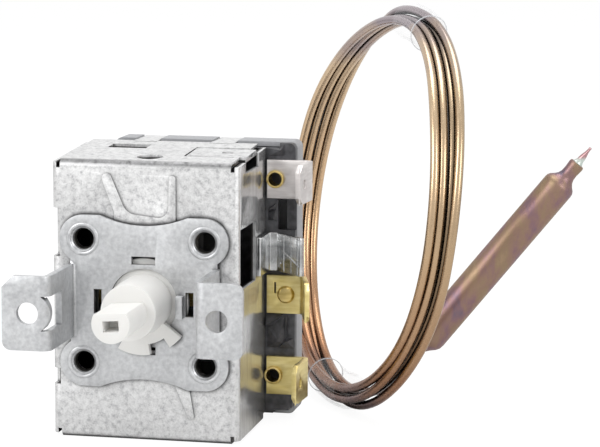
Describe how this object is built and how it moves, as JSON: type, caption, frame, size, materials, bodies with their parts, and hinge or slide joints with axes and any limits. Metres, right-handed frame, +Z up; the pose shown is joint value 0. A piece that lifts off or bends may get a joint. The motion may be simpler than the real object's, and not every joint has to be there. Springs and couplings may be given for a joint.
{
  "type": "built-in thermostat",
  "caption": "Built-in capillary thermostat: a folded steel box with an adjusting spindle, fixing tabs, blade terminals, and a coiled tube that leads to a sensing bulb.",
  "frame": {"origin": "on the spindle axis, in the front face of the mounting plate", "axes": "+X to the right seen from the front, +Y to the back, away from the spindle, +Z up"},
  "size_m": [0.088, 0.085, 0.0684],
  "materials": {
    "zinc_sheet": "zinc-plated sheet, soft mottled grey",
    "zinc_plate": "zinc-plated sheet, bright",
    "white_plastic": "moulded, satin white",
    "black_thermoset": "moulded thermoset, satin black",
    "grey_cover": "matt grey sheet",
    "tinned_brass": "tin-plated brass, satin",
    "terminal_brass": "bright rolled brass",
    "rivet_brass": "turned brass",
    "nickel_strip": "nickel-plated, glossy",
    "capillary_copper": "drawn copper tube, darkened",
    "clear_film": "clear adhesive film",
    "tinted_copper": "heat-tinted copper",
    "solder": "tin solder",
    "spring_steel": "hardened steel, oiled",
    "diaphragm_steel": "stainless, pressed",
    "white_ceramic": "steatite",
    "blade_bronze": "beryllium bronze spring strip",
    "silver_contact": "silver"
  },
  "bodies": {
    "box": {"housing": "zinc_sheet", "mounting_plate": "zinc_plate", "switch_base": "black_thermoset", "rear_cover": "grey_cover", "terminal_upper": "tinned_brass", "terminal_middle": "terminal_brass", "terminal_lower": "terminal_brass", "eyelet_upper": "rivet_brass", "eyelet_lower": "rivet_brass", "rivet_middle": "rivet_brass", "earth_tab": "nickel_strip", "capillary_lead": "capillary_copper", "capillary_coil": "capillary_copper", "capillary_tail": "capillary_copper", "band_upper": "clear_film", "band_lower": "clear_film", "sensor_bulb": "tinted_copper", "fill_tail": "solder", "bracket": "zinc_sheet", "range_spring": "spring_steel", "lever_pin": "spring_steel", "diaphragm_front": "diaphragm_steel", "diaphragm_rear": "diaphragm_steel", "diaphragm_seat": "zinc_sheet", "capillary_ferrule": "rivet_brass", "blade_mount": "terminal_brass", "contact_closed": "terminal_brass", "contact_open": "terminal_brass", "base_rivet_1": "spring_steel", "base_rivet_2": "spring_steel"},
    "spindle": {"spindle": "white_plastic", "adjusting_screw": "rivet_brass"},
    "nut": {"spring_nut": "rivet_brass"},
    "lever": {"lever": "spring_steel", "calibration_screw": "spring_steel"},
    "button": {"diaphragm_button": "diaphragm_steel"},
    "switch_pin": {"switch_button": "white_ceramic"},
    "blade": {"contact_blade": "blade_bronze", "moving_contact": "silver_contact"}
  },
  "joints": [
    {"name": "spindle_turn", "type": "hinge", "parent": "box", "child": "spindle", "pos_m": [0, 0, 0], "axis": [0, -1, 0], "range_deg": [-228, 18.5]},
    {"name": "nut_travel", "type": "slide", "parent": "box", "child": "nut", "axis": [0, 1, 0], "range_m": [-0.0000388, 0.000504], "deforming": ["range_spring"]},
    {"name": "lever_tilt", "type": "hinge", "parent": "box", "child": "lever", "pos_m": [0, 0.0126, 0.0095], "axis": [1, 0, 0], "range_deg": [-1.5, 0], "stiffness_Nm_per_rad": 0.05, "springref_deg": 1.72},
    {"name": "button_travel", "type": "slide", "parent": "box", "child": "button", "axis": [0, 1, 0], "range_m": [-0.00026, 0]},
    {"name": "switch_pin_travel", "type": "slide", "parent": "box", "child": "switch_pin", "axis": [0, 1, 0], "range_m": [-0.00058, 0]},
    {"name": "blade_bend", "type": "hinge", "parent": "box", "child": "blade", "pos_m": [0.007, 0.02315, 0.0085], "axis": [1, 0, 0], "range_deg": [-1.6, 0]}
  ],
  "couplings": [
    {"joint": "spindle_turn", "follows": "nut_travel", "rad_per_m": -7854},
    {"joint": "button_travel", "follows": "lever_tilt", "m_per_rad": 0.0095},
    {"joint": "switch_pin_travel", "follows": "lever_tilt", "m_per_rad": 0.0215},
    {"joint": "blade_bend", "follows": "lever_tilt", "ratio": 1.0488}
  ]
}
